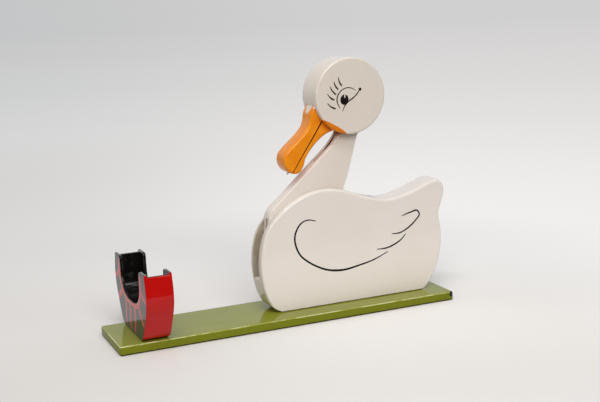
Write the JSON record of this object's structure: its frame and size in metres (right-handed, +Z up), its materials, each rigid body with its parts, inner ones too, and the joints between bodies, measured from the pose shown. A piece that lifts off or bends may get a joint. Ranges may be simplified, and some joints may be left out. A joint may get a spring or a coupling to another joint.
{
  "type": "duck desk dispenser",
  "caption": "Painted wooden duck on a long board; its neck and head swing forward on a hidden linkage so the beak dips into a notched holder at the front.",
  "frame": {"origin": "centre of the bounding box, on the surface that the board stands on", "axes": "+X along the board from the holder to the tail, +Y across it away from the near side, +Z up"},
  "size_m": [0.3084, 0.0964, 0.2206],
  "materials": {
    "base_enamel": "olive green gloss enamel on wood",
    "body_enamel": "off-white satin gloss enamel on wood, faint grain",
    "neck_enamel": "off-white satin gloss enamel on wood",
    "head_enamel": "off-white satin gloss enamel on wood",
    "beak_enamel": "orange gloss enamel on wood",
    "holder_enamel": "red gloss enamel outside, black inside",
    "holder_side_enamel": "black gloss enamel panels with thin red lines",
    "steel": "bright drawn steel",
    "screw_metal": "brass plated, slotted",
    "line_paint": "black brushed enamel lines on the painted wood",
    "holder_line_paint": "red brushed enamel lines on the painted wood"
  },
  "bodies": {
    "stand": {"base_board": "base_enamel", "body_core": "body_enamel", "body_near_plate": "body_enamel", "body_far_plate": "body_enamel", "body_screw_front": "screw_metal", "body_screw_rear": "screw_metal", "holder_front_side": "holder_side_enamel", "holder_rear_side": "holder_side_enamel", "holder_trough": "holder_enamel", "holder_screw_near": "screw_metal", "holder_screw_far": "screw_metal", "neck_pivot_pin": "steel", "link_pin_body": "steel"},
    "neck": {"neck_near_half": "neck_enamel", "neck_far_half": "neck_enamel"},
    "rod": {"link_rod": "steel"},
    "head": {"head_near_cheek": "head_enamel", "head_far_cheek": "head_enamel", "head_core": "head_enamel", "head_pivot_pin": "steel", "link_pin_head": "steel", "beak": "beak_enamel", "beak_needle": "steel"}
  },
  "joints": [
    {"name": "neck_swing", "type": "hinge", "parent": "stand", "child": "neck", "pos_m": [0.01855, 0, 0.076], "axis": [0, -1, 0], "range_deg": [0, 101.9]},
    {"name": "head_nod", "type": "hinge", "parent": "neck", "child": "head", "pos_m": [0.07175, 0, 0.1694], "axis": [0, -1, 0], "range_deg": [-77.4, 0]},
    {"name": "rod_swing", "type": "hinge", "parent": "stand", "child": "rod", "pos_m": [0.00956, 0, 0.0702], "axis": [0, -1, 0], "range_deg": [0, 102.8]}
  ],
  "couplings": [
    {"joint": "head_nod", "follows": "neck_swing", "ratio": -0.759},
    {"joint": "rod_swing", "follows": "neck_swing", "ratio": 1.008}
  ]
}
